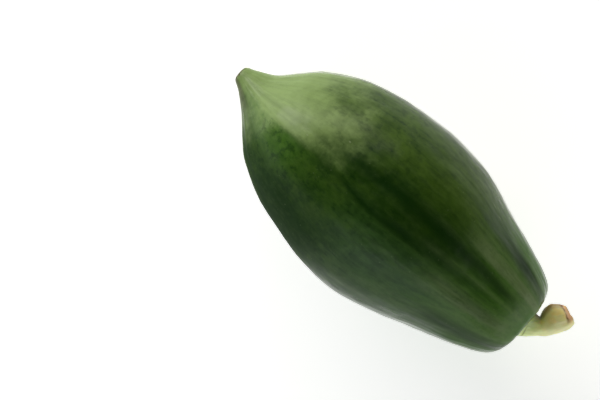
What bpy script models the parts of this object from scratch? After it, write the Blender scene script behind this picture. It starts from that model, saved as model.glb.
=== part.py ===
"""A green papaya lying on its side: the whole fruit and the short stem that it was picked with.

Metres, +Z up. The long axis runs along +X, from the blossom tip at -X to the stem end at +X. The origin is
the middle of the small flat spot that the fruit rests on, straight below the centre of mass.
"""

import math

import bmesh
import bpy
from mathutils import Vector

# Driving sizes of the fruit
LENGTH = 0.240  # blossom tip to the rim round the stem
GIRTH_RADIUS = 0.0615  # at the widest place, between the ribs, seen from above
FLATTENING = 0.97  # height over width

# How it lies
REST_FROM_TIP = 0.1280  # along the axis, from the blossom tip to the resting spot
REST_SINK = 0.0012  # how much of the round belly the flat spot takes away
ROLL = math.radians(4.0)  # the uppermost rib leans to -Y

# The turned outline, tip to stem cavity: distance from the tip over LENGTH, radius over GIRTH_RADIUS
OUTLINE = (
    (0.003, 0.000),
    (0.000, 0.046),
    (0.006, 0.092),
    (0.032, 0.143),
    (0.079, 0.264),
    (0.127, 0.452),
    (0.174, 0.612),
    (0.269, 0.814),
    (0.396, 0.950),
    (0.525, 1.000),
    (0.625, 0.956),
    (0.696, 0.885),
    (0.767, 0.788),
    (0.908, 0.601),
    (0.960, 0.510),
    (0.985, 0.442),
    (0.997, 0.368),
    (1.000, 0.275),
    (0.992, 0.200),
    (0.985, 0.180),
    (0.985, 0.000),
)
RINGS_PER_SPAN = 3
AROUND = 60

# How far the middle of the fruit sways off the straight axis: distance from the tip over LENGTH, y, z
SWAY = (
    (0.00, 0.0030, -0.0030),
    (0.10, 0.0000, -0.0018),
    (0.27, 0.0009, -0.0004),
    (0.50, -0.0008, 0.0000),
    (0.70, 0.0000, -0.0010),
    (0.88, -0.0004, -0.0028),
    (1.00, 0.0000, -0.0042),
)

# Five ribs run from the tip and fade at the belly, and five more rise between them towards the stem end
RIBS = 5
TIP_RIB_SHARPNESS = 24.0  # a larger number is a narrower rib
STEM_RIB_SHARPNESS = 11.0
TIP_RIB_HEIGHT = 0.045  # of the radius
BELLY_RIB_HEIGHT = 0.012
STEM_RIB_HEIGHT = 0.055
LOBE_REACH = 0.0008  # how far the lobes stand out past the furrows at the stem end

# The stem: x from the rim, y to the side, radius, and the degrees that its section is turned to the side
STEM = (
    (-0.0031, 0.0000, 0.0104, 0.0),
    (-0.0004, 0.0003, 0.0100, 6.0),
    (0.0031, 0.0019, 0.0085, 20.0),
    (0.0077, 0.0046, 0.0069, 36.0),
    (0.0099, 0.0061, 0.0067, 43.0),
    (0.0113, 0.0100, 0.0084, 48.0),
    (0.0138, 0.0156, 0.0098, 56.0),
    (0.0175, 0.0203, 0.0087, 60.0),
    (0.0194, 0.0235, 0.0058, 67.0),
)
STEM_DROOP = 0.12  # how far the stem leans down for each metre that it reaches out
STEM_AROUND = 20
STEM_RINGS_PER_SPAN = 3

CUTTER_SIZE = 0.4
UP = Vector((0, 0, 1))


def remove_everything():
    for obj in list(bpy.data.objects):
        bpy.data.objects.remove(obj)


def material(name, colour, roughness):
    made = bpy.data.materials.new(name)
    made.use_nodes = True
    shader = made.node_tree.nodes["Principled BSDF"]
    shader.inputs["Base Color"].default_value = (*colour, 1.0)
    shader.inputs["Roughness"].default_value = roughness
    shader.inputs["Metallic"].default_value = 0.0
    return made


def smooth_through(points, steps):
    """Points on a Catmull-Rom curve through these points, with this many steps from each to the next."""
    vectors = [Vector(p) for p in points]
    padded = [2 * vectors[0] - vectors[1], *vectors, 2 * vectors[-1] - vectors[-2]]
    curve = []
    for before, start, end, after in zip(padded, padded[1:], padded[2:], padded[3:]):
        for step in range(steps):
            t = step / steps
            curve.append(
                0.5
                * (
                    2 * start
                    + (end - before) * t
                    + (2 * before - 5 * start + 4 * end - after) * t**2
                    + (3 * start - before - 3 * end + after) * t**3
                )
            )
    return [*curve, vectors[-1]]


def ramp(value, low, high):
    """0 below low, 1 above high and smooth between them."""
    t = min(1.0, max(0.0, (value - low) / (high - low)))
    return t * t * (3 - 2 * t)


def ribs(angle, first, sharpness):
    """The sum of five round-topped ribs at this angle round the axis, each 1 high at its crest."""
    crests = (first + 2 * math.pi * k / RIBS for k in range(RIBS))
    return sum(math.exp(sharpness * (math.cos(angle - crest) - 1)) for crest in crests)


def sway(share):
    """Where the middle of the fruit is at this share of the length: y, z."""
    share = min(1.0, max(0.0, share))
    for low, high in zip(SWAY, SWAY[1:]):
        if share <= high[0]:
            t = ramp(share, low[0], high[0])
            return [a + (b - a) * t for a, b in zip(low[1:], high[1:])]


def skin_point(share, radius, angle):
    """A point of the fruit's surface, with its ribs. Angle 0 is the uppermost rib."""
    tip = TIP_RIB_HEIGHT * ramp(share, 0.0, 0.05) * (1 - ramp(share, 0.10, 0.38))
    belly = BELLY_RIB_HEIGHT * ramp(share, 0.05, 0.3) * (1 - ramp(share, 0.55, 0.85))
    shoulder = ramp(share, 0.45, 0.95) * ramp(radius, 0.18, 0.42)
    lobe = shoulder * ribs(angle, math.pi / RIBS, STEM_RIB_SHARPNESS)
    swell = 1 + (tip + belly) * ribs(angle, 0.0, TIP_RIB_SHARPNESS) + STEM_RIB_HEIGHT * lobe
    reach = LOBE_REACH * lobe * ramp(share, 0.9, 1.0)
    out = radius * GIRTH_RADIUS * swell
    y, z = sway(share)
    turn = angle + ROLL
    return Vector(
        (
            share * LENGTH + reach,
            y - math.sin(turn) * out,
            z + math.cos(turn) * out * FLATTENING,
        )
    )


def tube(name, rings, start_pole, end_pole):
    """A closed mesh of quads between rings of points that run anticlockwise seen from the end pole."""
    mesh = bmesh.new()
    loops = [[mesh.verts.new(point) for point in ring] for ring in rings]
    start, end = mesh.verts.new(start_pole), mesh.verts.new(end_pole)
    around = len(rings[0])
    for k in range(around):
        after = (k + 1) % around
        mesh.faces.new((start, loops[0][after], loops[0][k]))
        mesh.faces.new((end, loops[-1][k], loops[-1][after]))
        for near, far in zip(loops, loops[1:]):
            mesh.faces.new((near[k], near[after], far[after], far[k]))
    data = bpy.data.meshes.new(name)
    mesh.to_mesh(data)
    mesh.free()
    data.shade_smooth()
    obj = bpy.data.objects.new(name, data)
    bpy.context.scene.collection.objects.link(obj)
    return obj


def make_fruit(pose):
    """The fruit in one piece: blunt tip, ribbed belly, five-lobed stem end and the cavity the stem grows from."""
    curve = smooth_through(OUTLINE, RINGS_PER_SPAN)
    angles = [2 * math.pi * k / AROUND for k in range(AROUND)]
    rings = [[skin_point(*place, angle) for angle in angles] for place in curve[1:-1]]
    fruit = tube("fruit", rings, skin_point(*curve[0], 0), skin_point(*curve[-1], 0))
    fruit.data.materials.append(material("green_skin", (0.055, 0.135, 0.032), 0.38))
    fruit.parent = pose
    cut = fruit.modifiers.new("resting_spot", "BOOLEAN")
    cut.operation = "DIFFERENCE"
    cut.object = ground_cutter()
    return fruit


def ground_cutter():
    """A block below the ground, which leaves the fruit its small flat spot."""
    mesh = bmesh.new()
    bmesh.ops.create_cube(mesh, size=CUTTER_SIZE)
    data = bpy.data.meshes.new("ground_cutter")
    mesh.to_mesh(data)
    mesh.free()
    cutter = bpy.data.objects.new("ground_cutter", data)
    cutter.location.z = -CUTTER_SIZE / 2
    cutter.hide_render = True
    cutter.display_type = "WIRE"
    bpy.context.scene.collection.objects.link(cutter)
    return cutter


def make_stem(pose):
    """The short stem, bent to one side, with a swollen end where it was broken off."""
    middle_y, middle_z = sway(1.0)
    rings = []
    centres = []
    for x, y, radius, degrees in smooth_through(STEM, STEM_RINGS_PER_SPAN):
        centre = Vector((LENGTH + x, middle_y + y, middle_z - STEM_DROOP * x))
        side = Vector((-math.sin(math.radians(degrees)), math.cos(math.radians(degrees)), 0))
        turns = (2 * math.pi * k / STEM_AROUND for k in range(STEM_AROUND))
        centres.append(centre)
        rings.append([centre + radius * (math.cos(a) * UP - math.sin(a) * side) for a in turns])
    stem = tube("stem", rings, centres[0], centres[-1])
    stem.data.materials.append(material("stem_flesh", (0.42, 0.44, 0.16), 0.6))
    stem.parent = pose
    return stem


def make_pose():
    """The empty that carries the papaya, at the tip end of the long axis."""
    pose = bpy.data.objects.new("papaya", None)
    pose.location = (-REST_FROM_TIP, 0, GIRTH_RADIUS * FLATTENING - REST_SINK)
    bpy.context.scene.collection.objects.link(pose)
    return pose


def main():
    remove_everything()
    pose = make_pose()
    make_fruit(pose)
    make_stem(pose)


main()
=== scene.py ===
"""The looks of the papaya: its waxy skin, its stem and a plain pale studio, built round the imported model."""

import math

import bpy
from bpy.props import FloatProperty, FloatVectorProperty, IntProperty, PointerProperty
from mathutils import Matrix, Vector


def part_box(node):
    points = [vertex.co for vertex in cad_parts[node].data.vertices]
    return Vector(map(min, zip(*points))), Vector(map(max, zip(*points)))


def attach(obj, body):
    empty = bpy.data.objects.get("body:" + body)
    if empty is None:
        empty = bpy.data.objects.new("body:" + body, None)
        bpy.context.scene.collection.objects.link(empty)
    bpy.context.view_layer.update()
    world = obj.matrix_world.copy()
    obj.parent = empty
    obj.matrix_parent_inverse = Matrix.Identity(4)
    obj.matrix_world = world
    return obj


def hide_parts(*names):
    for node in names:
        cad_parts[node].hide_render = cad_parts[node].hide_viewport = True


bl_info = {
    "name": "Green Papaya",
    "version": (1, 0, 0),
    "blender": (4, 5, 0),
    "location": "3D View > Sidebar > Papaya",
    "description": "A whole green papaya with its stem, on a plain pale floor",
    "category": "Object",
}

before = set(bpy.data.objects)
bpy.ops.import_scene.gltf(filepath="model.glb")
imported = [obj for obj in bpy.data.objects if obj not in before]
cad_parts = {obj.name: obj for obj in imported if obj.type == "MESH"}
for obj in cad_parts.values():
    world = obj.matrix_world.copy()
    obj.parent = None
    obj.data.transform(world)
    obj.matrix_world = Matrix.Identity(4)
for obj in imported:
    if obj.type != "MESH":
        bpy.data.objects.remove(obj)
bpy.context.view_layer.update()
TIP_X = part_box("fruit")[0].x  # the blossom tip is the fruit's lowest corner in X

BODY = "root"

# ---------------------------------------------------------------------------------------------------
# The shape, as the solid model has it
# ---------------------------------------------------------------------------------------------------

LENGTH = 0.240  # blossom tip to the rim round the stem
GIRTH_RADIUS = 0.0615  # at the widest place, between the ribs
FLATTENING = 0.97  # height over width
REST_SINK = 0.0012  # how much of the round belly the flat spot takes away
AXIS_Z = GIRTH_RADIUS * FLATTENING - REST_SINK  # of the long axis, above the floor

# Tip to stem cavity: distance from the tip over LENGTH, radius over GIRTH_RADIUS
OUTLINE = (
    (0.003, 0.000),
    (0.000, 0.046),
    (0.006, 0.092),
    (0.032, 0.143),
    (0.079, 0.264),
    (0.127, 0.452),
    (0.174, 0.612),
    (0.269, 0.814),
    (0.396, 0.950),
    (0.525, 1.000),
    (0.625, 0.956),
    (0.696, 0.885),
    (0.767, 0.788),
    (0.908, 0.601),
    (0.960, 0.510),
    (0.985, 0.442),
    (0.997, 0.368),
    (1.000, 0.275),
    (0.992, 0.200),
    (0.985, 0.180),
    (0.985, 0.000),
)

# How far the middle sways off the straight axis: distance from the tip over LENGTH, y, z
SWAY = (
    (0.00, 0.0030, -0.0030),
    (0.10, 0.0000, -0.0018),
    (0.27, 0.0009, -0.0004),
    (0.50, -0.0008, 0.0000),
    (0.70, 0.0000, -0.0010),
    (0.88, -0.0004, -0.0028),
    (1.00, 0.0000, -0.0042),
)

# The stem's path: x from the rim, y to the side, radius, and the degrees that its section is turned
STEM = (
    (-0.0031, 0.0000, 0.0104, 0.0),
    (-0.0004, 0.0003, 0.0100, 6.0),
    (0.0031, 0.0019, 0.0085, 20.0),
    (0.0077, 0.0046, 0.0069, 36.0),
    (0.0099, 0.0061, 0.0067, 43.0),
    (0.0113, 0.0100, 0.0084, 48.0),
    (0.0138, 0.0156, 0.0098, 56.0),
    (0.0175, 0.0203, 0.0087, 60.0),
    (0.0194, 0.0235, 0.0058, 67.0),
)
STEM_DROOP = 0.12  # how far it leans down for each metre that it reaches out

RIBS = 5
TIP_RIB_SHARPNESS = 24.0  # a larger number is a narrower rib
STEM_RIB_SHARPNESS = 11.0
CURVE_STEPS = 8  # points on a guide between two of the points above
WELD = 0.00001  # points closer than this become one
DEGREE = math.radians(1.0)


# ---------------------------------------------------------------------------------------------------
# Settings
# ---------------------------------------------------------------------------------------------------


def colour(name, description, default):
    return FloatVectorProperty(
        name=name, description=description, default=default, subtype="COLOR", size=3, min=0.0, max=1.0
    )


def length(name, description, default, high=1.0):
    return FloatProperty(
        name=name, description=description, default=default, min=0.0, max=high, unit="LENGTH", precision=5
    )


def share(name, description, default):
    return FloatProperty(
        name=name, description=description, default=default, min=0.0, max=1.0, subtype="FACTOR"
    )


def count(name, description, default, low=0, high=1000):
    return IntProperty(name=name, description=description, default=default, min=low, max=high)


def amount(name, description, default, **more):
    return FloatProperty(name=name, description=description, default=default, min=0.0, **more)


class PapayaFruitSettings(bpy.types.PropertyGroup):
    """The fruit's fine shape and the colours of its skin"""

    rings: count("Rings", "Rings of the mesh from tip to stem", 290, low=40, high=400)
    around: count("Around", "Faces in each ring", 300, low=40, high=400)
    tip_rib: share("Tip Rib", "Height of the five ribs at the tip, over the radius", 0.045)
    belly_rib: share("Belly Rib", "Height of the same ribs on the belly, over the radius", 0.012)
    stem_rib: share("Stem Rib", "Height of the five lobes at the stem end, over the radius", 0.055)
    lobe_reach: length("Lobe Reach", "How far the lobes stand out past the furrows", 0.0008)
    roll: FloatProperty(
        name="Roll", description="Lean of the uppermost rib to -Y", default=math.radians(4.0), subtype="ANGLE"
    )
    dents: length("Dents", "Depth of the broad unevenness of the skin", 0.0004)
    furrows: length("Furrows", "Depth of the fine lengthwise furrows", 0.00020)
    grooves: length("Grooves", "Depth of the few long grooves", 0.0005)
    seed: count("Seed", "Another fruit of the same kind", 4)
    # Tip Green is the tip's own pale yellow-green with a painted highlight of the key light mixed in
    tip_green_and_highlight: colour("Tip Green", "Pale yellow-green of the tip", (0.214, 0.312, 0.102))
    belly_green: colour("Belly Green", "Green of the belly", (0.027, 0.070, 0.006))
    # Core Green is the skin's darkest green in its clouds and specks, and is also laid on as painted shade
    # along the upper belly, in the grooves and low on the flank to -Y
    dark_green_and_shade: colour("Core Green", "Darkest green, of the upper belly and grooves", (0.004, 0.026, 0.001))
    flank_green: colour("Flank Green", "Warmer green of the flank to +Y", (0.066, 0.126, 0.014))
    # Cool Green is partly a painted sheen of cool light reflected from below
    cool_green_and_sheen: colour("Cool Green", "Bluer green of the flank to -Y", (0.044, 0.106, 0.021))
    shoulder_green: colour("Shoulder Green", "Green near the stem", (0.062, 0.160, 0.014))
    # Crest Green is partly the crests' own waxy green and partly painted sheen along chosen lobes
    crest_green_and_sheen: colour("Crest Green", "Waxy green of the lobes' crests", (0.150, 0.220, 0.080))
    # Lip Green is a painted highlight on the rim round the stem
    lip_highlight_green: colour("Lip Green", "Pale green of the lip round the stem", (0.230, 0.340, 0.110))
    # Scar Brown is the scar's own brown, and is also laid on as painted shade beside the tip
    scar_brown_and_shade: colour("Scar Brown", "Dry scar of the flower", (0.050, 0.034, 0.014))
    fleck: colour("Fleck", "Pale pores and nicks", (0.260, 0.330, 0.160))


class PapayaStemSettings(bpy.types.PropertyGroup):
    """The stem's fine shape and colours"""

    rings: count("Rings", "Rings of the mesh along the stem", 150, low=20, high=300)
    around: count("Around", "Faces in each ring", 144, low=20, high=300)
    flutes: length("Flutes", "Depth of the lengthwise flutes", 0.00025)
    lumps: length("Lumps", "Depth of the broad unevenness", 0.0007)
    seed: count("Seed", "Another stem of the same kind", 2)
    flesh: colour("Flesh", "Pale yellow-green of the stem", (0.900, 0.880, 0.470))
    young: colour("Young", "Greener base by the fruit", (0.660, 0.780, 0.360))
    # Olive is laid on as painted shade in the hollow and the crease, and faintly as the fibres' own colour
    shade_olive: colour("Olive", "Olive of the hollow behind the knob", (0.170, 0.145, 0.030))
    tan: colour("Tan", "Golden flush on the knob", (0.880, 0.720, 0.250))
    broken: colour("Broken End", "Pinkish flesh of the broken end", (0.780, 0.500, 0.290))
    cork: colour("Cork", "Brown line round the broken end", (0.240, 0.085, 0.022))


class PapayaStudioSettings(bpy.types.PropertyGroup):
    """The floor, the lights and the camera"""

    floor_white: colour("Floor White", "Colour of the pale floor", (0.94, 0.94, 0.945))
    floor_size: length("Floor Size", "Side of the square floor", 6.0, high=20.0)
    floor_glow: amount("Floor Glow", "Light from the floor itself", 0.62)
    horizon: amount("Horizon", "Brightness of the room round about", 0.8)
    zenith: amount("Zenith", "Brightness of the room overhead", 0.01)
    power: amount("Power", "Power of the key light", 27.0, unit="POWER")
    lens: amount("Lens", "Focal length", 100.0, max=300.0, unit="CAMERA")
    view_width: length("View Width", "Width of the picture at the fruit's axis", 0.3794)


# ---------------------------------------------------------------------------------------------------
# Writing node trees
# ---------------------------------------------------------------------------------------------------

# A Mix node's sockets for colours, which share their names with its sockets for other values
MIX_FACTOR, MIX_FIRST, MIX_SECOND, MIX_RESULT = 0, 6, 7, 2
NOISE_LOW, NOISE_HIGH = 0.25, 0.75  # most of a noise lies between these


class Recipe:
    """Adds nodes to one tree in short calls. A socket given as an input is linked, any other value is set."""

    def __init__(self, tree):
        self.tree = tree

    def node(self, kind, inputs=None, **settings):
        """A new node. Its settings are made first, because they can change which inputs it has."""
        made = self.tree.nodes.new(kind)
        for name, value in settings.items():
            setattr(made, name, value)
        for name, value in (inputs or {}).items():
            self.feed(made.inputs[name], value)
        return made

    def feed(self, socket, value):
        if isinstance(value, bpy.types.NodeSocket):
            self.tree.links.new(value, socket)
        else:
            socket.default_value = value

    def math(self, operation, *values):
        return self.node("ShaderNodeMath", dict(enumerate(values)), operation=operation).outputs[0]

    def vector_math(self, operation, *values):
        made = self.node("ShaderNodeVectorMath", dict(enumerate(values)), operation=operation)
        return made.outputs["Vector"]

    def scaled(self, vector, factor):
        made = self.node("ShaderNodeVectorMath", {"Vector": vector, "Scale": factor}, operation="SCALE")
        return made.outputs["Vector"]

    def stretch(self, vector, along):
        """The vector with only its first part multiplied, so that noise on it runs along the piece."""
        return self.vector_math("MULTIPLY", vector, (along, 1.0, 1.0))

    def combine(self, x, y, z):
        return self.node("ShaderNodeCombineXYZ", {"X": x, "Y": y, "Z": z}).outputs["Vector"]

    def separate(self, vector):
        made = self.node("ShaderNodeSeparateXYZ", {"Vector": vector})
        return made.outputs["X"], made.outputs["Y"], made.outputs["Z"]

    def ramp(self, value, low, high):
        """0 below low, 1 above high and smooth between them."""
        inputs = {"Value": value, "From Min": low, "From Max": high}
        return self.node("ShaderNodeMapRange", inputs, interpolation_type="SMOOTHSTEP").outputs["Result"]

    def fall(self, value, low, high):
        """1 below low, 0 above high and smooth between them."""
        return self.math("SUBTRACT", 1.0, self.ramp(value, low, high))

    def bump_at(self, value, middle, half_width):
        """1 at the middle, falling smoothly to 0 at half_width to either side."""
        away = self.math("ABSOLUTE", self.math("SUBTRACT", value, middle))
        return self.fall(away, 0.0, half_width)

    def band(self, value, start, full, fade, gone):
        """0 below start and above gone, 1 from full to fade and smooth between them."""
        return self.times(self.ramp(value, start, full), self.fall(value, fade, gone))

    def times(self, *values):
        product = values[0]
        for value in values[1:]:
            product = self.math("MULTIPLY", product, value)
        return product

    def total(self, *values):
        result = values[0]
        for value in values[1:]:
            result = self.math("ADD", result, value)
        return result

    def plus(self, start, change, *factors):
        """The start and as much of the change as the factors let through."""
        return self.math("ADD", start, self.times(change, *factors))

    def noise(self, vector, scale, detail=2.0, roughness=0.5):
        inputs = {"Vector": vector, "Scale": scale, "Detail": detail, "Roughness": roughness}
        return self.node("ShaderNodeTexNoise", inputs).outputs["Fac"]

    def swing(self, vector, scale, detail=2.0, roughness=0.5):
        """Noise between about -1 and 1."""
        raw = self.noise(vector, scale, detail, roughness)
        inputs = {"Value": raw, "From Min": NOISE_LOW, "From Max": NOISE_HIGH, "To Min": -1.0, "To Max": 1.0}
        return self.node("ShaderNodeMapRange", inputs).outputs["Result"]

    def mix(self, factor, first, second):
        """The first colour where the factor is 0 and the second where it is 1."""
        made = self.node("ShaderNodeMix", {MIX_FACTOR: factor}, data_type="RGBA")
        for socket, value in ((MIX_FIRST, first), (MIX_SECOND, second)):
            linked = isinstance(value, bpy.types.NodeSocket)
            self.feed(made.inputs[socket], value if linked else (*value, 1.0))
        return made.outputs[MIX_RESULT]

    def position(self):
        """Where a point is, in a geometry tree."""
        return self.node("GeometryNodeInputPosition").outputs["Position"]

    def here(self):
        """Where a point is, in a material."""
        return self.node("ShaderNodeTexCoord").outputs["Object"]

    def stored(self, name, output="Fac"):
        """What a geometry tree kept under this name, in a material."""
        return self.node("ShaderNodeAttribute", attribute_name=name).outputs[output]


# ---------------------------------------------------------------------------------------------------
# Objects, guides and materials
# ---------------------------------------------------------------------------------------------------


def place_object(name, data):
    """A new object with this data, in the scene."""
    made = bpy.data.objects.new(name, data)
    bpy.context.scene.collection.objects.link(made)
    return made


def plain_mesh(name, tree, values):
    """The mesh that this tree makes with these values for its named inputs, as an object of its own."""
    holder = place_object(name + "_maker", bpy.data.meshes.new(name + "_maker"))
    modifier = holder.modifiers.new(name, "NODES")
    modifier.node_group = tree
    for item in tree.interface.items_tree:
        if item.in_out == "INPUT" and item.name in values:
            modifier[item.identifier] = values[item.name]
    holder.update_tag()
    bpy.context.view_layer.update()
    state = bpy.context.evaluated_depsgraph_get()
    shaped = holder.evaluated_get(state)
    mesh = bpy.data.meshes.new_from_object(shaped, preserve_all_data_layers=True, depsgraph=state)
    mesh.name = name
    bpy.data.objects.remove(holder)
    if not mesh.polygons:
        raise RuntimeError(f"the tree of {name} made no faces")
    return place_object(name, mesh)


def guide(name, points, tilts=None):
    """A curve through these points that a tree reads and the scene doesn't keep."""
    curve = bpy.data.curves.new(name, "CURVE")
    curve.dimensions = "3D"
    spline = curve.splines.new("POLY")
    spline.points.add(len(points) - 1)
    for k, (target, point) in enumerate(zip(spline.points, points)):
        target.co = (*point, 1.0)
        target.tilt = tilts[k] if tilts else 0.0
    return place_object(name, curve)


def smooth_through(points, steps):
    """Points on a Catmull-Rom curve through these points, with this many steps from each to the next."""
    vectors = [Vector(p) for p in points]
    padded = [2 * vectors[0] - vectors[1], *vectors, 2 * vectors[-1] - vectors[-2]]
    curve = []
    for before, start, end, after in zip(padded, padded[1:], padded[2:], padded[3:]):
        for step in range(steps):
            t = step / steps
            curve.append(
                0.5
                * (
                    2 * start
                    + (end - before) * t
                    + (2 * before - 5 * start + 4 * end - after) * t**2
                    + (3 * start - before - 3 * end + after) * t**3
                )
            )
    return [*curve, vectors[-1]]


class Coat:
    """A colour that is built up layer on layer"""

    def __init__(self, recipe, ground):
        self.recipe = recipe
        self.colour = ground

    def add(self, colour, *factors):
        """Lays this colour over the rest, as thickly as the product of the factors says."""
        self.colour = self.recipe.mix(self.recipe.times(*factors), self.colour, colour)


def new_material(name, specular):
    """A material, its shader's sockets and the recipe for its tree."""
    material = bpy.data.materials.new(name)
    material.use_nodes = True
    sockets = material.node_tree.nodes["Principled BSDF"].inputs
    sockets["Specular IOR Level"].default_value = specular
    return material, sockets, Recipe(material.node_tree)


def dress(recipe, sockets, coat, roughness, height, strength, distance):
    """Links a coat, its roughness and its fine relief to the shader."""
    recipe.feed(sockets["Base Color"], coat.colour)
    recipe.feed(sockets["Roughness"], roughness)
    bump = recipe.node("ShaderNodeBump", {"Height": height, "Strength": strength, "Distance": distance})
    recipe.feed(sockets["Normal"], bump.outputs["Normal"])


# ---------------------------------------------------------------------------------------------------
# A closed body of rings, shared by the fruit and the stem
# ---------------------------------------------------------------------------------------------------

RING_INPUTS = (
    ("Outline", "NodeSocketObject", None),
    ("Middle", "NodeSocketObject", None),
    ("Rings", "NodeSocketInt", 100),
    ("Around", "NodeSocketInt", 100),
    ("Seed", "NodeSocketInt", 0),
    ("Material", "NodeSocketMaterial", None),
)
SEED_STEP = 7.31  # how far apart the noises of two seeds lie


def ring_tree(name, sizes):
    """An empty geometry tree with the inputs of every ringed body, and these sizes as inputs of its own."""
    tree = bpy.data.node_groups.new(name, "GeometryNodeTree")
    tree.interface.new_socket("Geometry", in_out="OUTPUT", socket_type="NodeSocketGeometry")
    own = [(label, "NodeSocketFloat", value) for label, value in sizes.items()]
    for label, kind, default in (*RING_INPUTS, *own):
        socket = tree.interface.new_socket(label, in_out="INPUT", socket_type=kind)
        if default is not None:
            socket.default_value = default
    return Recipe(tree), tree.nodes.new("NodeGroupInput").outputs


def chosen(settings, labels):
    """The settings that have these labels."""
    return {label: getattr(settings, label.lower().replace(" ", "_")) for label in labels}


def ringed_mesh(name, tree, settings, sizes, material, outline, middle, tilts=None):
    """The closed body that this tree makes from its outline round its middle line."""
    guides = {
        "Outline": guide(name + "_outline", outline),
        "Middle": guide(name + "_middle", middle, tilts),
    }
    counts = chosen(settings, ("Rings", "Around", "Seed"))
    made = plain_mesh(name, tree, {**sizes, **counts, **guides, "Material": material})
    for line in guides.values():
        bpy.data.objects.remove(line)
    return made


def guide_sample(recipe, guide_socket, mode, place):
    """Where a guide is at this FACTOR or LENGTH of it, with its tilt there as Value."""
    geometry = recipe.node("GeometryNodeObjectInfo", {"Object": guide_socket}).outputs["Geometry"]
    tilt = recipe.node("GeometryNodeInputCurveTilt").outputs["Tilt"]
    inputs = {"Curves": geometry, "Value": tilt, mode.capitalize(): place}
    return recipe.node("GeometryNodeSampleCurve", inputs, mode=mode, data_type="FLOAT").outputs


def ring_fields(recipe, given):
    """The grid to be wrapped, and what each of its points needs to know."""
    around = recipe.math("ADD", given["Around"], 1)
    sizes = {"Size X": 1.0, "Size Y": 1.0, "Vertices X": around, "Vertices Y": given["Rings"]}
    grid = recipe.node("GeometryNodeMeshGrid", sizes).outputs["Mesh"]
    across, along, _ = recipe.separate(recipe.position())
    turn = recipe.math("MULTIPLY", recipe.math("ADD", across, 0.5), 2 * math.pi)
    outline = guide_sample(recipe, given["Outline"], "FACTOR", recipe.math("ADD", along, 0.5))
    reach, _, radius = recipe.separate(outline["Position"])
    return grid, turn, reach, radius


def move(recipe, geometry, **where):
    """Moves every point to a Position or by an Offset."""
    return recipe.node("GeometryNodeSetPosition", {"Geometry": geometry, **where}).outputs["Geometry"]


def wrap_ring(recipe, geometry, middle, middle_turn, turn, radius, flattening=1.0, push=(0.0, 0.0, 0.0)):
    """Moves the grid's points on to their rings round the middle line."""
    side_x = recipe.math("MULTIPLY", recipe.math("SINE", middle_turn), -1.0)
    side = recipe.combine(side_x, recipe.math("COSINE", middle_turn), 0.0)
    sideways = recipe.times(radius, recipe.math("SINE", turn), -1.0)
    upwards = recipe.times(radius, recipe.math("COSINE", turn), flattening)
    out = recipe.vector_math("ADD", recipe.scaled(side, sideways), recipe.combine(0.0, 0.0, upwards))
    place = recipe.vector_math("ADD", recipe.vector_math("ADD", middle, out), push)
    return move(recipe, geometry, Position=place)


def keep(recipe, geometry, name, value, kind="FLOAT"):
    """Stores a value on every point under this name."""
    inputs = {"Geometry": geometry, "Name": name, "Value": value}
    made = recipe.node("GeometryNodeStoreNamedAttribute", inputs, data_type=kind, domain="POINT")
    return made.outputs["Geometry"]


def kept(recipe, name, kind="FLOAT"):
    """The value that every point has under this name."""
    made = recipe.node("GeometryNodeInputNamedAttribute", {"Name": name}, data_type=kind)
    return made.outputs["Attribute"]


def weld(recipe, geometry):
    """Closes the seam and the two poles."""
    inputs = {"Geometry": geometry, "Distance": WELD}
    return recipe.node("GeometryNodeMergeByDistance", inputs).outputs["Geometry"]


def push_out(recipe, geometry, depth):
    """Moves every point along its normal by this depth."""
    normal = recipe.node("GeometryNodeInputNormal").outputs["Normal"]
    return move(recipe, geometry, Offset=recipe.scaled(normal, depth))


def finish_tree(recipe, geometry, material):
    """Smooth faces, real geometry and the finish end every tree."""
    smooth = recipe.node("GeometryNodeSetShadeSmooth", {"Geometry": geometry, "Shade Smooth": True})
    real = recipe.node("GeometryNodeRealizeInstances", {"Geometry": smooth.outputs["Geometry"]})
    inputs = {"Geometry": real.outputs["Geometry"], "Material": material}
    dressed = recipe.node("GeometryNodeSetMaterial", inputs)
    leave = recipe.tree.nodes.new("NodeGroupOutput")
    recipe.tree.links.new(dressed.outputs["Geometry"], leave.inputs["Geometry"])


def growth_space(recipe, given, along, turn, stretch=1.0):
    """A point in the space that growth marks follow: along the body, then round it, shifted by the seed."""
    shift = recipe.math("MULTIPLY", given["Seed"], SEED_STEP)
    place = recipe.math("ADD", recipe.math("MULTIPLY", along, stretch), shift)
    return recipe.combine(place, recipe.math("COSINE", turn), recipe.math("SINE", turn))


# ---------------------------------------------------------------------------------------------------
# The fruit's shape
# ---------------------------------------------------------------------------------------------------

MIDDLE_MARGIN = 0.01  # how far the middle line runs on past both ends
MIDDLE_STEPS = 60
GROOVE_START = 0.14  # of the length, over which a groove deepens
GROOVE_END = 0.10  # of the length, over which it fades
FRUIT_SIZES = ("Roll", "Tip Rib", "Belly Rib", "Stem Rib", "Lobe Reach", "Dents", "Furrows", "Grooves")

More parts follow.
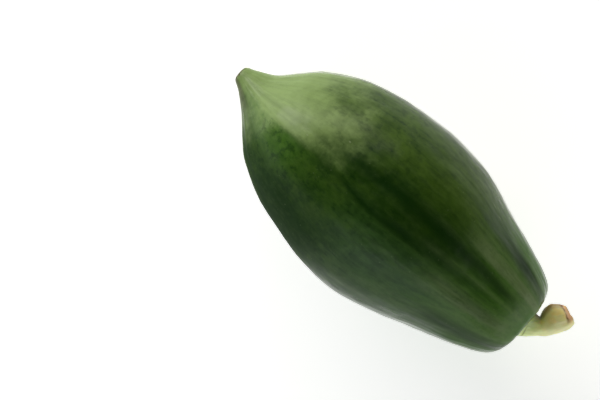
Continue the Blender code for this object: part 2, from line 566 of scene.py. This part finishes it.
# Long grooves. Where each starts along the fruit and its degrees round from the uppermost rib towards -Y, the
# same for its end, its half width in degrees and its depth over the deepest one's
GROOVES = (
    (-0.05, -7.5, 0.40, -8.0, 6.0, 0.6),
    (0.02, 62.0, 0.34, 66.0, 6.0, 0.5),
    (0.02, -80.0, 0.30, -76.0, 6.0, 0.5),
    (0.02, 138.0, 0.32, 142.0, 6.0, 0.5),
    (0.02, -150.0, 0.30, -146.0, 6.0, 0.5),
    (0.29, 4.0, 0.68, 3.5, 4.8, 0.9),
    (0.60, 3.5, 0.97, 2.5, 5.0, 0.3),
    (0.30, -8.5, 0.56, -12.5, 8.0, 0.8),
    (0.42, -12.5, 0.98, -12.0, 8.5, 0.85),
    (0.66, -54.0, 0.98, -43.0, 16.0, 0.6),
    (0.78, -46.0, 1.08, -43.0, 12.0, 0.55),
    (0.68, 43.0, 1.08, 46.0, 18.0, 0.9),
    (0.52, 104.0, 0.97, 98.0, 7.0, 0.8),
    (0.28, 122.0, 0.72, 126.0, 6.0, 0.7),
    (0.64, 150.0, 0.98, 144.0, 6.0, 1.0),
    (0.60, -110.0, 0.98, -104.0, 7.0, 0.9),
    (0.26, -124.0, 0.68, -130.0, 6.0, 0.7),
    (0.68, -160.0, 0.98, -152.0, 6.0, 1.0),
)


def ribs(recipe, turn, first, sharpness):
    """Five round-topped ribs, each 1 high at its crest."""
    gap = 2 * math.pi / RIBS
    shifted = recipe.math("SUBTRACT", turn, first)
    near = recipe.math("ABSOLUTE", recipe.math("WRAP", shifted, gap / 2, -gap / 2))
    crests = []
    for away in (near, recipe.math("SUBTRACT", gap, near)):
        drop = recipe.math("SUBTRACT", recipe.math("COSINE", away), 1.0)
        crests.append(recipe.math("EXPONENT", recipe.math("MULTIPLY", drop, sharpness)))
    return recipe.math("ADD", *crests)


def groove(recipe, along, turn, start, start_degrees, end, end_degrees, half_width, depth):
    """The depth of one long groove, falling off to its sides and its ends."""
    lean = (end_degrees - start_degrees) / (end - start)
    degrees = recipe.math("ADD", recipe.times(recipe.math("SUBTRACT", along, start), lean), start_degrees)
    aside = recipe.math("SUBTRACT", turn, recipe.times(degrees, DEGREE))
    away = recipe.math("ABSOLUTE", recipe.math("WRAP", aside, math.pi, -math.pi))
    ends = recipe.band(along, start, start + GROOVE_START, end - GROOVE_END, end)
    return recipe.times(depth, recipe.fall(away, 0.0, math.radians(half_width)), ends)


def fruit_tree(sizes):
    recipe, given = ring_tree("Papaya Fruit", sizes)
    grid, turn, reach, radius = ring_fields(recipe, given)
    along = recipe.math("DIVIDE", reach, given["Length"])
    fullness = recipe.math("DIVIDE", radius, given["Girth Radius"])
    growth = growth_space(recipe, given, along, turn)

    # The ribs wander a little from their even places, and no two are of one height
    bent = recipe.plus(turn, 0.10, recipe.swing(growth, 1.3, 1.0))
    uneven = recipe.plus(1.0, 0.30, recipe.swing(growth, 0.9, 0.0))
    tip = recipe.times(given["Tip Rib"], recipe.band(along, 0.0, 0.05, 0.10, 0.38))
    belly = recipe.times(given["Belly Rib"], recipe.band(along, 0.05, 0.3, 0.55, 0.85))
    first = ribs(recipe, bent, 0.0, TIP_RIB_SHARPNESS)
    lobe = recipe.times(
        recipe.ramp(along, 0.45, 0.95),
        recipe.ramp(fullness, 0.18, 0.42),
        ribs(recipe, bent, math.pi / RIBS, STEM_RIB_SHARPNESS),
    )
    tip_swell = recipe.times(recipe.math("ADD", tip, belly), first, uneven)
    swell = recipe.total(1.0, tip_swell, recipe.times(given["Stem Rib"], lobe, uneven))
    outwards = recipe.times(given["Lobe Reach"], lobe, recipe.ramp(along, 0.9, 1.0))

    # What the skin's material reads is stored while the points still lie on the grid
    tip_part = recipe.times(first, recipe.fall(along, 0.35, 0.62))
    stem_part = recipe.times(lobe, recipe.ramp(along, 0.5, 0.8))
    unsteady = recipe.plus(turn, 0.045, recipe.swing(growth, 5.0, 2.0))
    grooved = recipe.total(*(groove(recipe, along, unsteady, *row) for row in GROOVES))
    body = keep(recipe, grid, "growth", growth, "FLOAT_VECTOR")
    body = keep(recipe, body, "along", along)
    body = keep(recipe, body, "fullness", fullness)
    body = keep(recipe, body, "rib", recipe.math("ADD", tip_part, stem_part))
    body = keep(recipe, body, "groove", recipe.math("MINIMUM", grooved, 1.0))

    middle = guide_sample(recipe, given["Middle"], "LENGTH", recipe.math("ADD", reach, MIDDLE_MARGIN))
    rolled = recipe.math("ADD", turn, given["Roll"])
    push = recipe.combine(outwards, 0.0, 0.0)
    wide = recipe.times(radius, swell)
    body = wrap_ring(recipe, body, middle["Position"], 0.0, rolled, wide, given["Flattening"], push)
    body = weld(recipe, body)
    body = push_out(recipe, body, unevenness(recipe, given))
    body = flatten_below(recipe, body)
    finish_tree(recipe, body, given["Material"])
    return recipe.tree


def unevenness(recipe, given):
    """Broad dents, furrows that run along the fruit, the pucker round the tip and the long grooves."""
    here = recipe.position()
    along = kept(recipe, "along")
    lengthwise = recipe.stretch(kept(recipe, "growth", "FLOAT_VECTOR"), 0.9)
    broad = recipe.times(given["Dents"], recipe.swing(here, 24.0, 1.0))
    small = recipe.times(given["Dents"], 0.50, recipe.swing(here, 75.0, 2.0))
    grown = recipe.math("ADD", 0.25, recipe.ramp(along, 0.35, 0.9))
    fine = recipe.times(given["Furrows"], grown, recipe.swing(lengthwise, 7.0, 2.0))
    drawn = recipe.fall(along, 0.02, 0.22)
    pucker = recipe.times(given["Furrows"], 1.4, drawn, recipe.swing(lengthwise, 4.5, 1.0))
    cut = recipe.times(given["Grooves"], -1.0, kept(recipe, "groove"))
    quiet = recipe.ramp(kept(recipe, "fullness"), 0.05, 0.30)
    return recipe.times(quiet, recipe.total(broad, small, fine, pucker, cut))


def flatten_below(recipe, geometry):
    """No point goes below the ground, so the belly keeps its flat resting spot."""
    x, y, z = recipe.separate(recipe.position())
    return move(recipe, geometry, Position=recipe.combine(x, y, recipe.math("MAXIMUM", z, 0.0)))


def smooth_step(t):
    return t * t * (3 - 2 * t)


def sway(place):
    """Where the middle of the fruit is at this share of the length: y, z."""
    for low, high in zip(SWAY, SWAY[1:]):
        if place <= high[0]:
            t = smooth_step((place - low[0]) / (high[0] - low[0]))
            return [a + (b - a) * t for a, b in zip(low[1:], high[1:])]


def fruit_middle():
    """Points on the fruit's middle line, from a little before the tip to a little past the stem end."""
    margin = MIDDLE_MARGIN / LENGTH
    points = []
    for k in range(MIDDLE_STEPS + 1):
        place = -margin + (1 + 2 * margin) * k / MIDDLE_STEPS
        y, z = sway(min(1.0, max(0.0, place)))
        points.append((TIP_X + place * LENGTH, y, AXIS_Z + z))
    return points


# ---------------------------------------------------------------------------------------------------
# The fruit's skin
# ---------------------------------------------------------------------------------------------------

# Pale nicks in the skin: place along the fruit, degrees round, length and width
MARKS = (
    (0.341, -17.0, 0.0022, 0.0015),
    (0.249, -2.5, 0.0020, 0.0012),
    (0.730, -58.0, 0.0065, 0.0006),
    (0.745, -61.0, 0.0050, 0.0005),
    (0.760, -56.0, 0.0040, 0.0005),
    (0.520, 96.0, 0.0060, 0.0007),
    (0.610, -118.0, 0.0045, 0.0010),
    (0.400, 141.0, 0.0025, 0.0015),
)


class SkinPlaces:
    """What the skin's layers read at a point, and the noises that several of them share"""

    def __init__(self, recipe):
        self.along = recipe.stored("along")
        self.fullness = recipe.stored("fullness")
        self.rib = recipe.stored("rib")
        self.grooved = recipe.stored("groove")
        self.growth = recipe.stored("growth", "Vector")
        self.here = recipe.here()

        # Degrees round from the uppermost rib towards -Y, and the same with an unsteady edge
        _, upper_part, side_part = recipe.separate(self.growth)
        self.turn = recipe.math("DIVIDE", recipe.math("ARCTAN2", side_part, upper_part), DEGREE)
        self.drift = recipe.plus(self.turn, 3.5, recipe.swing(self.growth, 3.0, 2.0))

        self.cloud = recipe.noise(self.here, 82.0, 3.0, 0.50)
        self.patch = recipe.ramp(self.cloud, 0.42, 0.60)
        self.speck = recipe.ramp(recipe.noise(self.here, 270.0, 2.5, 0.55), 0.50, 0.63)
        self.lengthwise = recipe.stretch(self.growth, 0.75)
        self.brush = recipe.noise(self.lengthwise, 17.0, 4.0, 0.60)
        self.strokes = recipe.ramp(self.brush, 0.46, 0.64)
        self.calm = recipe.ramp(self.along, 0.74, 0.94)
        pores = recipe.node("ShaderNodeTexVoronoi", {"Vector": self.here, "Scale": 260.0})
        self.from_pore = pores.outputs["Distance"]
        self.porous = recipe.ramp(recipe.noise(self.here, 60.0, 2.0), 0.52, 0.64)


def belly_greens_and_shade(recipe, at, coat, settings):
    """Cooler to -Y, partly a painted sheen, warmer to +Y, and painted shade along the upper belly between them
    and low on the flank to -Y.
    """
    # Partly painted sheen: the bluer green to -Y stands in for cool light reflected from below
    cool = recipe.band(at.drift, -4.0, 18.0, 135.0, 172.0)
    coat.add(settings.cool_green_and_sheen, cool, recipe.ramp(at.along, 0.36, 0.56))
    coat.add(settings.flank_green, 0.85, recipe.band(at.drift, -170.0, -120.0, -40.0, -14.0))
    coat.add(settings.shoulder_green, recipe.ramp(at.along, 0.66, 0.90))
    # Painted shade: a darker band along the lower flank to -Y
    coat.add(settings.dark_green_and_shade, 0.45, recipe.bump_at(at.drift, 62.0, 32.0))
    # Painted shade: the darkest band along the upper belly, which faces straight up
    core = recipe.band(at.drift, -28.0, -13.0, -4.0, 10.0)
    coat.add(settings.dark_green_and_shade, 0.40, core, recipe.band(at.along, 0.38, 0.50, 0.62, 0.78))


def clouds(recipe, at, coat, settings):
    """Soft clouds and brushed strokes of darker green, thickest round the middle."""
    dense = recipe.band(at.along, 0.10, 0.26, 0.42, 0.70)
    dark = recipe.plus(0.08, 0.20, dense)
    shade = recipe.total(
        recipe.times(dark, at.patch),
        recipe.times(0.30, at.strokes, recipe.plus(1.0, -0.75, at.calm)),
        recipe.times(dark, at.speck),
    )
    coat.add(settings.dark_green_and_shade, shade)
    coat.add(settings.flank_green, recipe.plus(0.08, 0.14, dense), recipe.fall(at.cloud, 0.34, 0.50))


def shade_and_green_behind_tip(recipe, at, coat, settings):
    """Painted shade low on the flank to -Y, a deeper green beside the pale tip, and a middling green above it.
    """
    # Painted shade low on the flank to -Y
    low = recipe.band(at.drift, 22.0, 50.0, 95.0, 130.0)
    coat.add(settings.dark_green_and_shade, 0.75, low, recipe.band(at.along, 0.14, 0.28, 0.38, 0.52))
    beside = recipe.band(at.drift, 2.0, 9.0, 12.0, 46.0)
    coat.add(settings.shoulder_green, 0.62, beside, recipe.fall(at.along, 0.18, 0.34))


def pale_tip(recipe, at, coat, settings):
    """The pale tip with its ragged edge, partly painted light and shade: the pale reaches furthest on the lit
    side to +Y and stops short past the crest on the shaded side to -Y. Gives back how pale each point is.
    """
    # Painted light and shade: the edge lies further out to +Y and is drawn back to -Y
    edge = recipe.total(
        0.272,
        recipe.times(0.100, recipe.bump_at(at.drift, -17.0, 26.0)),
        recipe.times(-0.170, recipe.ramp(at.drift, -1.0, 13.0)),
        recipe.times(-0.065, recipe.ramp(at.drift, 12.0, 40.0)),
        recipe.times(0.090, recipe.ramp(at.drift, 80.0, 130.0)),
        recipe.times(-0.145, recipe.fall(at.drift, -172.0, -100.0)),
        recipe.times(0.060, recipe.swing(at.here, 45.0, 3.0, 0.55)),
        recipe.times(0.030, recipe.swing(at.here, 170.0, 3.0, 0.60)),
    )
    spread = recipe.plus(0.100, 0.015, recipe.ramp(at.drift, -4.0, 14.0))
    past_edge = recipe.math("DIVIDE", recipe.math("SUBTRACT", at.along, edge), spread)
    pale = recipe.fall(past_edge, -0.90, 1.0)
    inner = recipe.ramp(at.along, 0.12, 0.32)
    worn = recipe.total(
        1.0,
        recipe.times(-0.30, inner, at.patch),
        recipe.times(-0.12, at.strokes),
        recipe.times(-0.14, inner, at.speck),
    )
    # The tip's pale yellow-green, with a painted highlight of the key light in it
    coat.add(settings.tip_green_and_highlight, pale, worn)
    freckles = recipe.times(
        recipe.ramp(recipe.noise(at.here, 250.0, 3.0, 0.60), 0.48, 0.66),
        recipe.band(at.drift, 2.0, 12.0, 100.0, 140.0),
        recipe.band(at.along, 0.11, 0.17, 0.26, 0.42),
    )
    coat.add(settings.dark_green_and_shade, 0.60, freckles)
    return pale


def crests_and_grooves(recipe, at, coat, settings, pale):
    """Lighter crests with painted sheen along chosen lobes at the stem end, soft streaks, and grooves darkened
    with painted shade. Gives back how dark each groove is.
    """
    crest = recipe.times(0.35, recipe.ramp(at.rib, 0.35, 1.0), recipe.ramp(at.along, 0.62, 0.82))
    # Painted sheen: light lines along chosen lobes at the stem end
    ridge_sheen = recipe.total(
        recipe.times(recipe.band(at.drift, -37.5, -30.0, -24.0, -18.0), recipe.ramp(at.along, 0.68, 0.82)),
        recipe.times(recipe.bump_at(at.drift, 17.0, 13.0), recipe.band(at.along, 0.64, 0.82, 0.92, 1.0)),
        recipe.times(0.30, recipe.bump_at(at.drift, -2.5, 4.5), recipe.ramp(at.along, 0.60, 0.70)),
    )
    ridge_sheen = recipe.times(ridge_sheen, recipe.plus(0.75, 0.25, recipe.ramp(at.brush, 0.42, 0.58)))
    coat.add(settings.crest_green_and_sheen, recipe.math("MAXIMUM", crest, ridge_sheen))
    streak = recipe.noise(recipe.stretch(at.growth, 0.40), 6.5, 3.0, 0.55)
    strength = recipe.plus(0.05, 0.32, recipe.band(at.along, 0.40, 0.80, 0.88, 0.985))
    coat.add(settings.dark_green_and_shade, strength, recipe.ramp(streak, 0.48, 0.66))
    coat.add(settings.crest_green_and_sheen, strength, 0.45, recipe.fall(streak, 0.36, 0.50))
    # Painted shade in the grooves, fainter on the pale tip
    deep = recipe.times(at.grooved, recipe.plus(0.92, -0.62, pale))
    coat.add(settings.dark_green_and_shade, deep)
    return deep


def mottling(recipe, at, coat, settings, pale, deep):
    """A fine mottling, fainter on the pale tip and absent from the grooves."""
    fine = recipe.noise(recipe.stretch(at.here, 0.45), 400.0, 2.0, 0.60)
    clear = recipe.times(recipe.plus(1.0, -0.60, pale), recipe.math("SUBTRACT", 1.0, deep))
    coat.add(settings.dark_green_and_shade, 0.16, clear, recipe.ramp(fine, 0.50, 0.64))
    coat.add(settings.crest_green_and_sheen, 0.04, clear, recipe.fall(fine, 0.36, 0.50))


def mark(recipe, at, place, degrees, long, wide):
    """1 within one small mark that runs along the skin."""
    half_lengths = LENGTH / (long / 2)
    half_widths = DEGREE * GIRTH_RADIUS / (wide / 2)
    forward = recipe.times(recipe.math("SUBTRACT", at.along, place), half_lengths)
    aside = recipe.times(recipe.math("SUBTRACT", at.turn, degrees), half_widths, at.fullness)
    away = {0: recipe.combine(forward, aside, 0.0)}
    far = recipe.node("ShaderNodeVectorMath", away, operation="LENGTH").outputs["Value"]
    return recipe.fall(far, 0.35, 1.0)


def small_marks(recipe, at, coat, settings):
    """Pale pores and nicks, and a painted highlight on the lip round the stem."""
    coat.add(settings.fleck, 0.18, at.porous, recipe.fall(at.from_pore, 0.05, 0.16))
    nicks = recipe.total(*(mark(recipe, at, *row) for row in MARKS))
    coat.add(settings.fleck, 0.60, recipe.math("MINIMUM", nicks, 1.0))
    # Painted highlight: a pale ring on the lip round the stem
    coat.add(settings.lip_highlight_green, recipe.ramp(at.along, 0.975, 0.998), recipe.fall(at.fullness, 0.22, 0.36))


def flower_scar(recipe, at, coat, settings):
    """The dry scar at the tip, and painted shade in brown beside it to -Y. Gives back where the scar is."""
    edge = recipe.plus(at.fullness, 0.02, recipe.swing(at.growth, 9.0, 2.0))
    scar = recipe.times(recipe.fall(at.along, 0.004, 0.017), recipe.fall(edge, 0.070, 0.105))
    coat.add(settings.scar_brown_and_shade, 0.85, scar)
    # Painted shade: a brownish darkening beside the tip to -Y
    nose_shade = recipe.band(at.drift, 22.0, 50.0, 100.0, 140.0)
    coat.add(settings.scar_brown_and_shade, 0.55, nose_shade, recipe.fall(at.along, 0.02, 0.11))
    return scar


def skin_roughness(recipe, at, scar):
    """Broad patches of wax, dull on the flank to -Y behind the tip and in the stem end's furrows."""
    wax = recipe.noise(at.lengthwise, 5.0, 4.0, 0.65)
    rough = recipe.total(0.29, recipe.times(0.10, recipe.ramp(wax, 0.30, 0.70)), recipe.times(0.25, scar))
    facing = recipe.node("ShaderNodeLayerWeight", {"Blend": 0.5}).outputs["Facing"]
    smoother = recipe.plus(1.0, -0.65, recipe.ramp(facing, 0.55, 0.95))
    flank = recipe.band(at.drift, 20.0, 45.0, 110.0, 150.0)
    flank = recipe.times(flank, recipe.band(at.along, 0.08, 0.16, 0.36, 0.56))
    furrows = recipe.total(
        recipe.band(at.drift, -82.0, -70.0, -50.0, -36.0),
        recipe.band(at.drift, 32.0, 42.0, 60.0, 76.0),
    )
    matte = recipe.plus(flank, 0.40, furrows, recipe.band(at.along, 0.80, 0.88, 0.92, 0.99))
    glossy = recipe.times(rough, smoother, recipe.math("SUBTRACT", 1.0, matte))
    return recipe.plus(glossy, 0.85, matte)


def skin_relief(recipe, at):
    """A fine grain, ripples along the fruit, small lumps and the pits of the pores."""
    ripple = recipe.noise(at.lengthwise, 20.0, 3.0, 0.55)
    return recipe.total(
        recipe.times(0.08, recipe.noise(at.here, 900.0, 3.0, 0.6)),
        recipe.times(0.14, ripple, recipe.plus(1.0, -0.70, at.calm)),
        recipe.times(0.40, recipe.noise(at.here, 190.0, 3.0, 0.55)),
        recipe.times(-0.20, recipe.fall(at.from_pore, 0.04, 0.14), at.porous),
    )


def skin_material(settings):
    material, sockets, recipe = new_material("papaya_skin", specular=0.22)
    sockets["IOR"].default_value = 1.45
    at = SkinPlaces(recipe)
    coat = Coat(recipe, settings.belly_green)
    belly_greens_and_shade(recipe, at, coat, settings)
    clouds(recipe, at, coat, settings)
    shade_and_green_behind_tip(recipe, at, coat, settings)
    pale = pale_tip(recipe, at, coat, settings)
    deep = crests_and_grooves(recipe, at, coat, settings, pale)
    mottling(recipe, at, coat, settings, pale, deep)
    small_marks(recipe, at, coat, settings)
    scar = flower_scar(recipe, at, coat, settings)
    roughness = skin_roughness(recipe, at, scar)
    dress(recipe, sockets, coat, roughness, skin_relief(recipe, at), strength=0.30, distance=0.0006)
    return material


class PAPAYA_OT_fruit(bpy.types.Operator):
    """Makes the fruit in one piece and dresses it in its skin"""

    bl_idname = "papaya.fruit"
    bl_label = "Fruit"

    def execute(self, context):
        settings = context.scene.papaya_fruit
        sizes = {"Length": LENGTH, "Girth Radius": GIRTH_RADIUS, "Flattening": FLATTENING}
        sizes.update(chosen(settings, FRUIT_SIZES))
        outline = [
            (place * LENGTH, 0.0, max(0.0, radius) * GIRTH_RADIUS)
            for place, radius in smooth_through(OUTLINE, CURVE_STEPS)
        ]
        skin = skin_material(settings)
        fruit = ringed_mesh("fruit_skin", fruit_tree(sizes), settings, sizes, skin, outline, fruit_middle())
        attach(fruit, BODY)
        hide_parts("fruit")
        return {"FINISHED"}


# ---------------------------------------------------------------------------------------------------
# The stem
# ---------------------------------------------------------------------------------------------------

STEM_SIZES = ("Flutes", "Lumps")
STEM_STRETCH = 40.0  # growth marks for each metre along the stem, over those round it


def stem_guides():
    """The stem's outline, as distance along it and radius, and its middle line with its sections' turns."""
    middle_y, middle_z = sway(1.0)
    base = Vector((TIP_X + LENGTH, middle_y, AXIS_Z + middle_z))
    rows = smooth_through(STEM, CURVE_STEPS)
    points = [base + Vector((x, y, -STEM_DROOP * x)) for x, y, _, _ in rows]
    tilts = [math.radians(row[3]) for row in rows]
    outline = [(0.0, 0.0, 0.0)]
    travelled = 0.0
    for k, row in enumerate(rows):
        if k:
            travelled += (points[k] - points[k - 1]).length
        outline.append((travelled, 0.0, row[2]))
    outline.append((travelled, 0.0, 0.0))
    return outline, points, tilts


def stem_tree(sizes):
    recipe, given = ring_tree("Papaya Stem", sizes)
    grid, turn, reach, radius = ring_fields(recipe, given)
    middle = guide_sample(recipe, given["Middle"], "LENGTH", reach)
    growth = growth_space(recipe, given, reach, turn, STEM_STRETCH)
    body = keep(recipe, grid, "growth", growth, "FLOAT_VECTOR")
    body = keep(recipe, body, "reach", reach)
    body = wrap_ring(recipe, body, middle["Position"], middle["Value"], turn, radius)
    body = weld(recipe, body)
    lumps = recipe.times(given["Lumps"], recipe.swing(recipe.position(), 110.0, 2.0))
    lengthwise = recipe.stretch(kept(recipe, "growth", "FLOAT_VECTOR"), 0.25)
    flutes = recipe.times(given["Flutes"], recipe.swing(lengthwise, 3.4, 2.0))
    quiet = recipe.ramp(kept(recipe, "reach"), 0.002, 0.006)
    body = push_out(recipe, body, recipe.times(quiet, recipe.total(lumps, flutes)))
    finish_tree(recipe, body, given["Material"])
    return recipe.tree


class StemPlaces:
    """What the stem's layers read at a point"""

    def __init__(self, recipe):
        self.reach = recipe.stored("reach")
        self.growth = recipe.stored("growth", "Vector")
        self.here = recipe.here()
        self.patch = recipe.noise(self.here, 170.0, 3.0)

        # 1 on the side that the stem bends to
        self.inner_side = recipe.math("MULTIPLY", recipe.separate(self.growth)[2], -1.0)


def stem_colours(recipe, at, coat, settings):
    """Greener by the fruit, golden on the knob, and painted shade in olive in the hollow behind the knob and
    in the crease.
    """
    coat.add(settings.flesh, recipe.ramp(at.reach, 0.004, 0.018))
    flush = recipe.times(
        recipe.ramp(at.reach, 0.010, 0.020),
        recipe.plus(0.35, 0.65, recipe.ramp(at.patch, 0.40, 0.60)),
        recipe.ramp(at.inner_side, -0.75, 0.35),
    )
    coat.add(settings.tan, 0.80, flush)
    # Painted shade: olive in the hollow on the inner side of the bend
    hollow = recipe.ramp(at.inner_side, 0.45, 1.0)
    coat.add(settings.shade_olive, 0.95, hollow, recipe.band(at.reach, 0.002, 0.007, 0.013, 0.022))
    fibre = recipe.noise(recipe.stretch(at.growth, 0.30), 6.0, 4.0)
    coat.add(settings.shade_olive, 0.08, recipe.ramp(fibre, 0.48, 0.66))
    knob = recipe.ramp(at.inner_side, 0.55, 1.0)
    coat.add(settings.cork, 0.65, knob, recipe.ramp(at.reach, 0.013, 0.020))
    # Painted shade: a dark olive line in the crease near the fruit
    crease = recipe.bump_at(at.reach, 0.0052, 0.0006)
    coat.add(settings.shade_olive, 0.60, crease, recipe.fall(at.inner_side, -0.55, 0.15))


def broken_end(recipe, at, coat, settings, total):
    """Pinkish flesh inside a brown, corky edge. Gives back where the flesh is."""
    edge = total - 0.0032
    ragged = recipe.plus(at.reach, 0.0007, recipe.swing(at.here, 300.0, 3.0))
    face = recipe.ramp(ragged, edge, total - 0.0020)
    coat.add(settings.broken, face, recipe.ramp(at.inner_side, -0.9, -0.2))
    core = recipe.ramp(at.reach, total - 0.0003, total)
    coat.add(settings.cork, 0.55, core, recipe.ramp(recipe.noise(at.here, 420.0, 3.0), 0.4, 0.6))
    rim = recipe.bump_at(ragged, edge, 0.0015)
    patchy = recipe.plus(0.50, 0.50, recipe.ramp(at.patch, 0.42, 0.56))
    coat.add(settings.cork, rim, patchy, recipe.ramp(at.inner_side, -0.7, 0.0))
    return face


def stem_material(settings, total):
    """The stem's finish; total is the distance along it to its broken end."""
    material, sockets, recipe = new_material("papaya_stem", specular=0.35)
    sockets["Subsurface Weight"].default_value = 0.60
    sockets["Subsurface Radius"].default_value = (0.010, 0.008, 0.003)
    sockets["Subsurface Scale"].default_value = 1.0
    at = StemPlaces(recipe)
    coat = Coat(recipe, settings.young)
    stem_colours(recipe, at, coat, settings)
    face = broken_end(recipe, at, coat, settings, total)
    grain = recipe.noise(recipe.stretch(at.growth, 0.6), 22.0, 4.0)
    relief = recipe.plus(grain, 0.8, face, recipe.noise(at.here, 900.0, 3.0))
    dress(recipe, sockets, coat, recipe.plus(0.46, 0.25, face), relief, strength=0.4, distance=0.0005)
    return material


class PAPAYA_OT_stem(bpy.types.Operator):
    """Makes the bent stem with its broken end"""

    bl_idname = "papaya.stem"
    bl_label = "Stem"

    def execute(self, context):
        settings = context.scene.papaya_stem
        sizes = chosen(settings, STEM_SIZES)
        outline, middle, tilts = stem_guides()
        flesh = stem_material(settings, outline[-1][0])
        stem = ringed_mesh("stem_flesh", stem_tree(sizes), settings, sizes, flesh, outline, middle, tilts)
        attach(stem, BODY)
        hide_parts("stem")
        return {"FINISHED"}


# ---------------------------------------------------------------------------------------------------
# The studio
# ---------------------------------------------------------------------------------------------------

VIEW_TURN = math.radians(40.73)  # of the picture round the vertical
VIEW_MIDDLE = Vector((-0.0463, -0.0331, AXIS_Z))  # the point in the middle of the picture
SENSOR = 0.036
CAMERA_SEES = (0.05, 20.0)  # from this near to this far
LIGHT_DISTANCE = 2.0
ROOM_TINT = (0.97, 0.985, 1.0, 1.0)
FLOOR_TINT = (1.0, 1.0, 1.0, 1.0)  # of its own light

# Soft lights: degrees round the picture from its right, degrees above the floor, width, height, power over
# the key's, tint
LIGHTS = (
    ("key", 132, 17, 1.2, 0.9, 1.00, (1.0, 0.98, 0.92)),
    ("back", 92, 29, 1.6, 0.9, 0.50, (1.0, 0.98, 0.86)),
    ("front", 250, 26, 2.4, 1.0, 0.46, (0.90, 0.97, 1.0)),
    ("end", 322, 16, 1.8, 0.6, 0.38, (1.0, 1.0, 0.90)),
)


def make_floor(settings):
    mesh = bpy.data.meshes.new("floor")
    half = settings.floor_size / 2
    corners = [(-half, -half, 0), (half, -half, 0), (half, half, 0), (-half, half, 0)]
    mesh.from_pydata(corners, [], [(0, 1, 2, 3)])
    floor = place_object("floor", mesh)
    material, sockets, _ = new_material("pale_floor", specular=0.2)
    sockets["Base Color"].default_value = (*settings.floor_white, 1.0)
    sockets["Roughness"].default_value = 0.6
    sockets["Emission Color"].default_value = FLOOR_TINT
    sockets["Emission Strength"].default_value = settings.floor_glow
    mesh.materials.append(material)


def make_room(settings):
    """A plain room: pale at eye level and dark overhead."""
    world = bpy.data.worlds.new("room")
    bpy.context.scene.world = world
    world.use_nodes = True
    recipe = Recipe(world.node_tree)
    direction = recipe.node("ShaderNodeTexCoord").outputs["Generated"]
    low = recipe.fall(recipe.separate(direction)[2], 0.03, 0.16)
    background = world.node_tree.nodes["Background"]
    background.inputs["Color"].default_value = ROOM_TINT
    recipe.feed(background.inputs["Strength"], recipe.plus(settings.zenith, settings.horizon, low))


def soft_light(name, around, above, width, height, power, tint):
    """A large soft light that is aimed at the fruit."""
    light = bpy.data.lights.new(name, "AREA")
    light.shape = "RECTANGLE"
    light.size, light.size_y = width, height
    light.energy = power
    light.color = tint
    turn = math.radians(around) + VIEW_TURN
    lift = math.radians(above)
    way = Vector((math.cos(turn) * math.cos(lift), math.sin(turn) * math.cos(lift), math.sin(lift)))
    place = way * LIGHT_DISTANCE
    aim = Vector((0.0, 0.0, AXIS_Z)) - place
    lamp = place_object(name, light)
    lamp.matrix_world = Matrix.Translation(place) @ aim.to_track_quat("-Z", "Y").to_matrix().to_4x4()


def make_camera(settings):
    data = bpy.data.cameras.new("camera")
    data.lens = settings.lens
    data.sensor_width = SENSOR * 1000
    data.clip_start, data.clip_end = CAMERA_SEES
    camera = place_object("camera", data)
    away = settings.view_width * (settings.lens / 1000) / SENSOR
    above = Matrix.Translation(VIEW_MIDDLE + Vector((0, 0, away)))
    camera.matrix_world = above @ Matrix.Rotation(VIEW_TURN, 4, "Z")
    bpy.context.scene.camera = camera


class PAPAYA_OT_studio(bpy.types.Operator):
    """Makes the floor, the room, the soft lights and the camera"""

    bl_idname = "papaya.studio"
    bl_label = "Studio"

    def execute(self, context):
        settings = context.scene.papaya_studio
        context.scene.view_settings.view_transform = "Standard"
        make_floor(settings)
        make_room(settings)
        for name, around, above, width, height, share_of_key, tint in LIGHTS:
            soft_light(name, around, above, width, height, settings.power * share_of_key, tint)
        make_camera(settings)
        return {"FINISHED"}


# ---------------------------------------------------------------------------------------------------
# The add-on
# ---------------------------------------------------------------------------------------------------


class PAPAYA_PT_panel(bpy.types.Panel):
    """The pieces of the papaya and their settings"""

    bl_idname = "PAPAYA_PT_panel"
    bl_label = "Papaya"
    bl_space_type = "VIEW_3D"
    bl_region_type = "UI"
    bl_category = "Papaya"

    def draw(self, context):
        for operator, settings in (
            (PAPAYA_OT_fruit, context.scene.papaya_fruit),
            (PAPAYA_OT_stem, context.scene.papaya_stem),
            (PAPAYA_OT_studio, context.scene.papaya_studio),
        ):
            box = self.layout.box()
            box.operator(operator.bl_idname)
            for name in settings.__annotations__:
                box.prop(settings, name)


CLASSES = (
    PapayaFruitSettings,
    PapayaStemSettings,
    PapayaStudioSettings,
    PAPAYA_OT_fruit,
    PAPAYA_OT_stem,
    PAPAYA_OT_studio,
    PAPAYA_PT_panel,
)


def register():
    for cls in CLASSES:
        bpy.utils.register_class(cls)
    bpy.types.Scene.papaya_fruit = PointerProperty(type=PapayaFruitSettings)
    bpy.types.Scene.papaya_stem = PointerProperty(type=PapayaStemSettings)
    bpy.types.Scene.papaya_studio = PointerProperty(type=PapayaStudioSettings)


def unregister():
    del bpy.types.Scene.papaya_studio
    del bpy.types.Scene.papaya_stem
    del bpy.types.Scene.papaya_fruit
    for cls in reversed(CLASSES):
        bpy.utils.unregister_class(cls)


def main():
    register()
    bpy.ops.papaya.studio()
    bpy.ops.papaya.fruit()
    bpy.ops.papaya.stem()


if __name__ == "__main__":
    main()
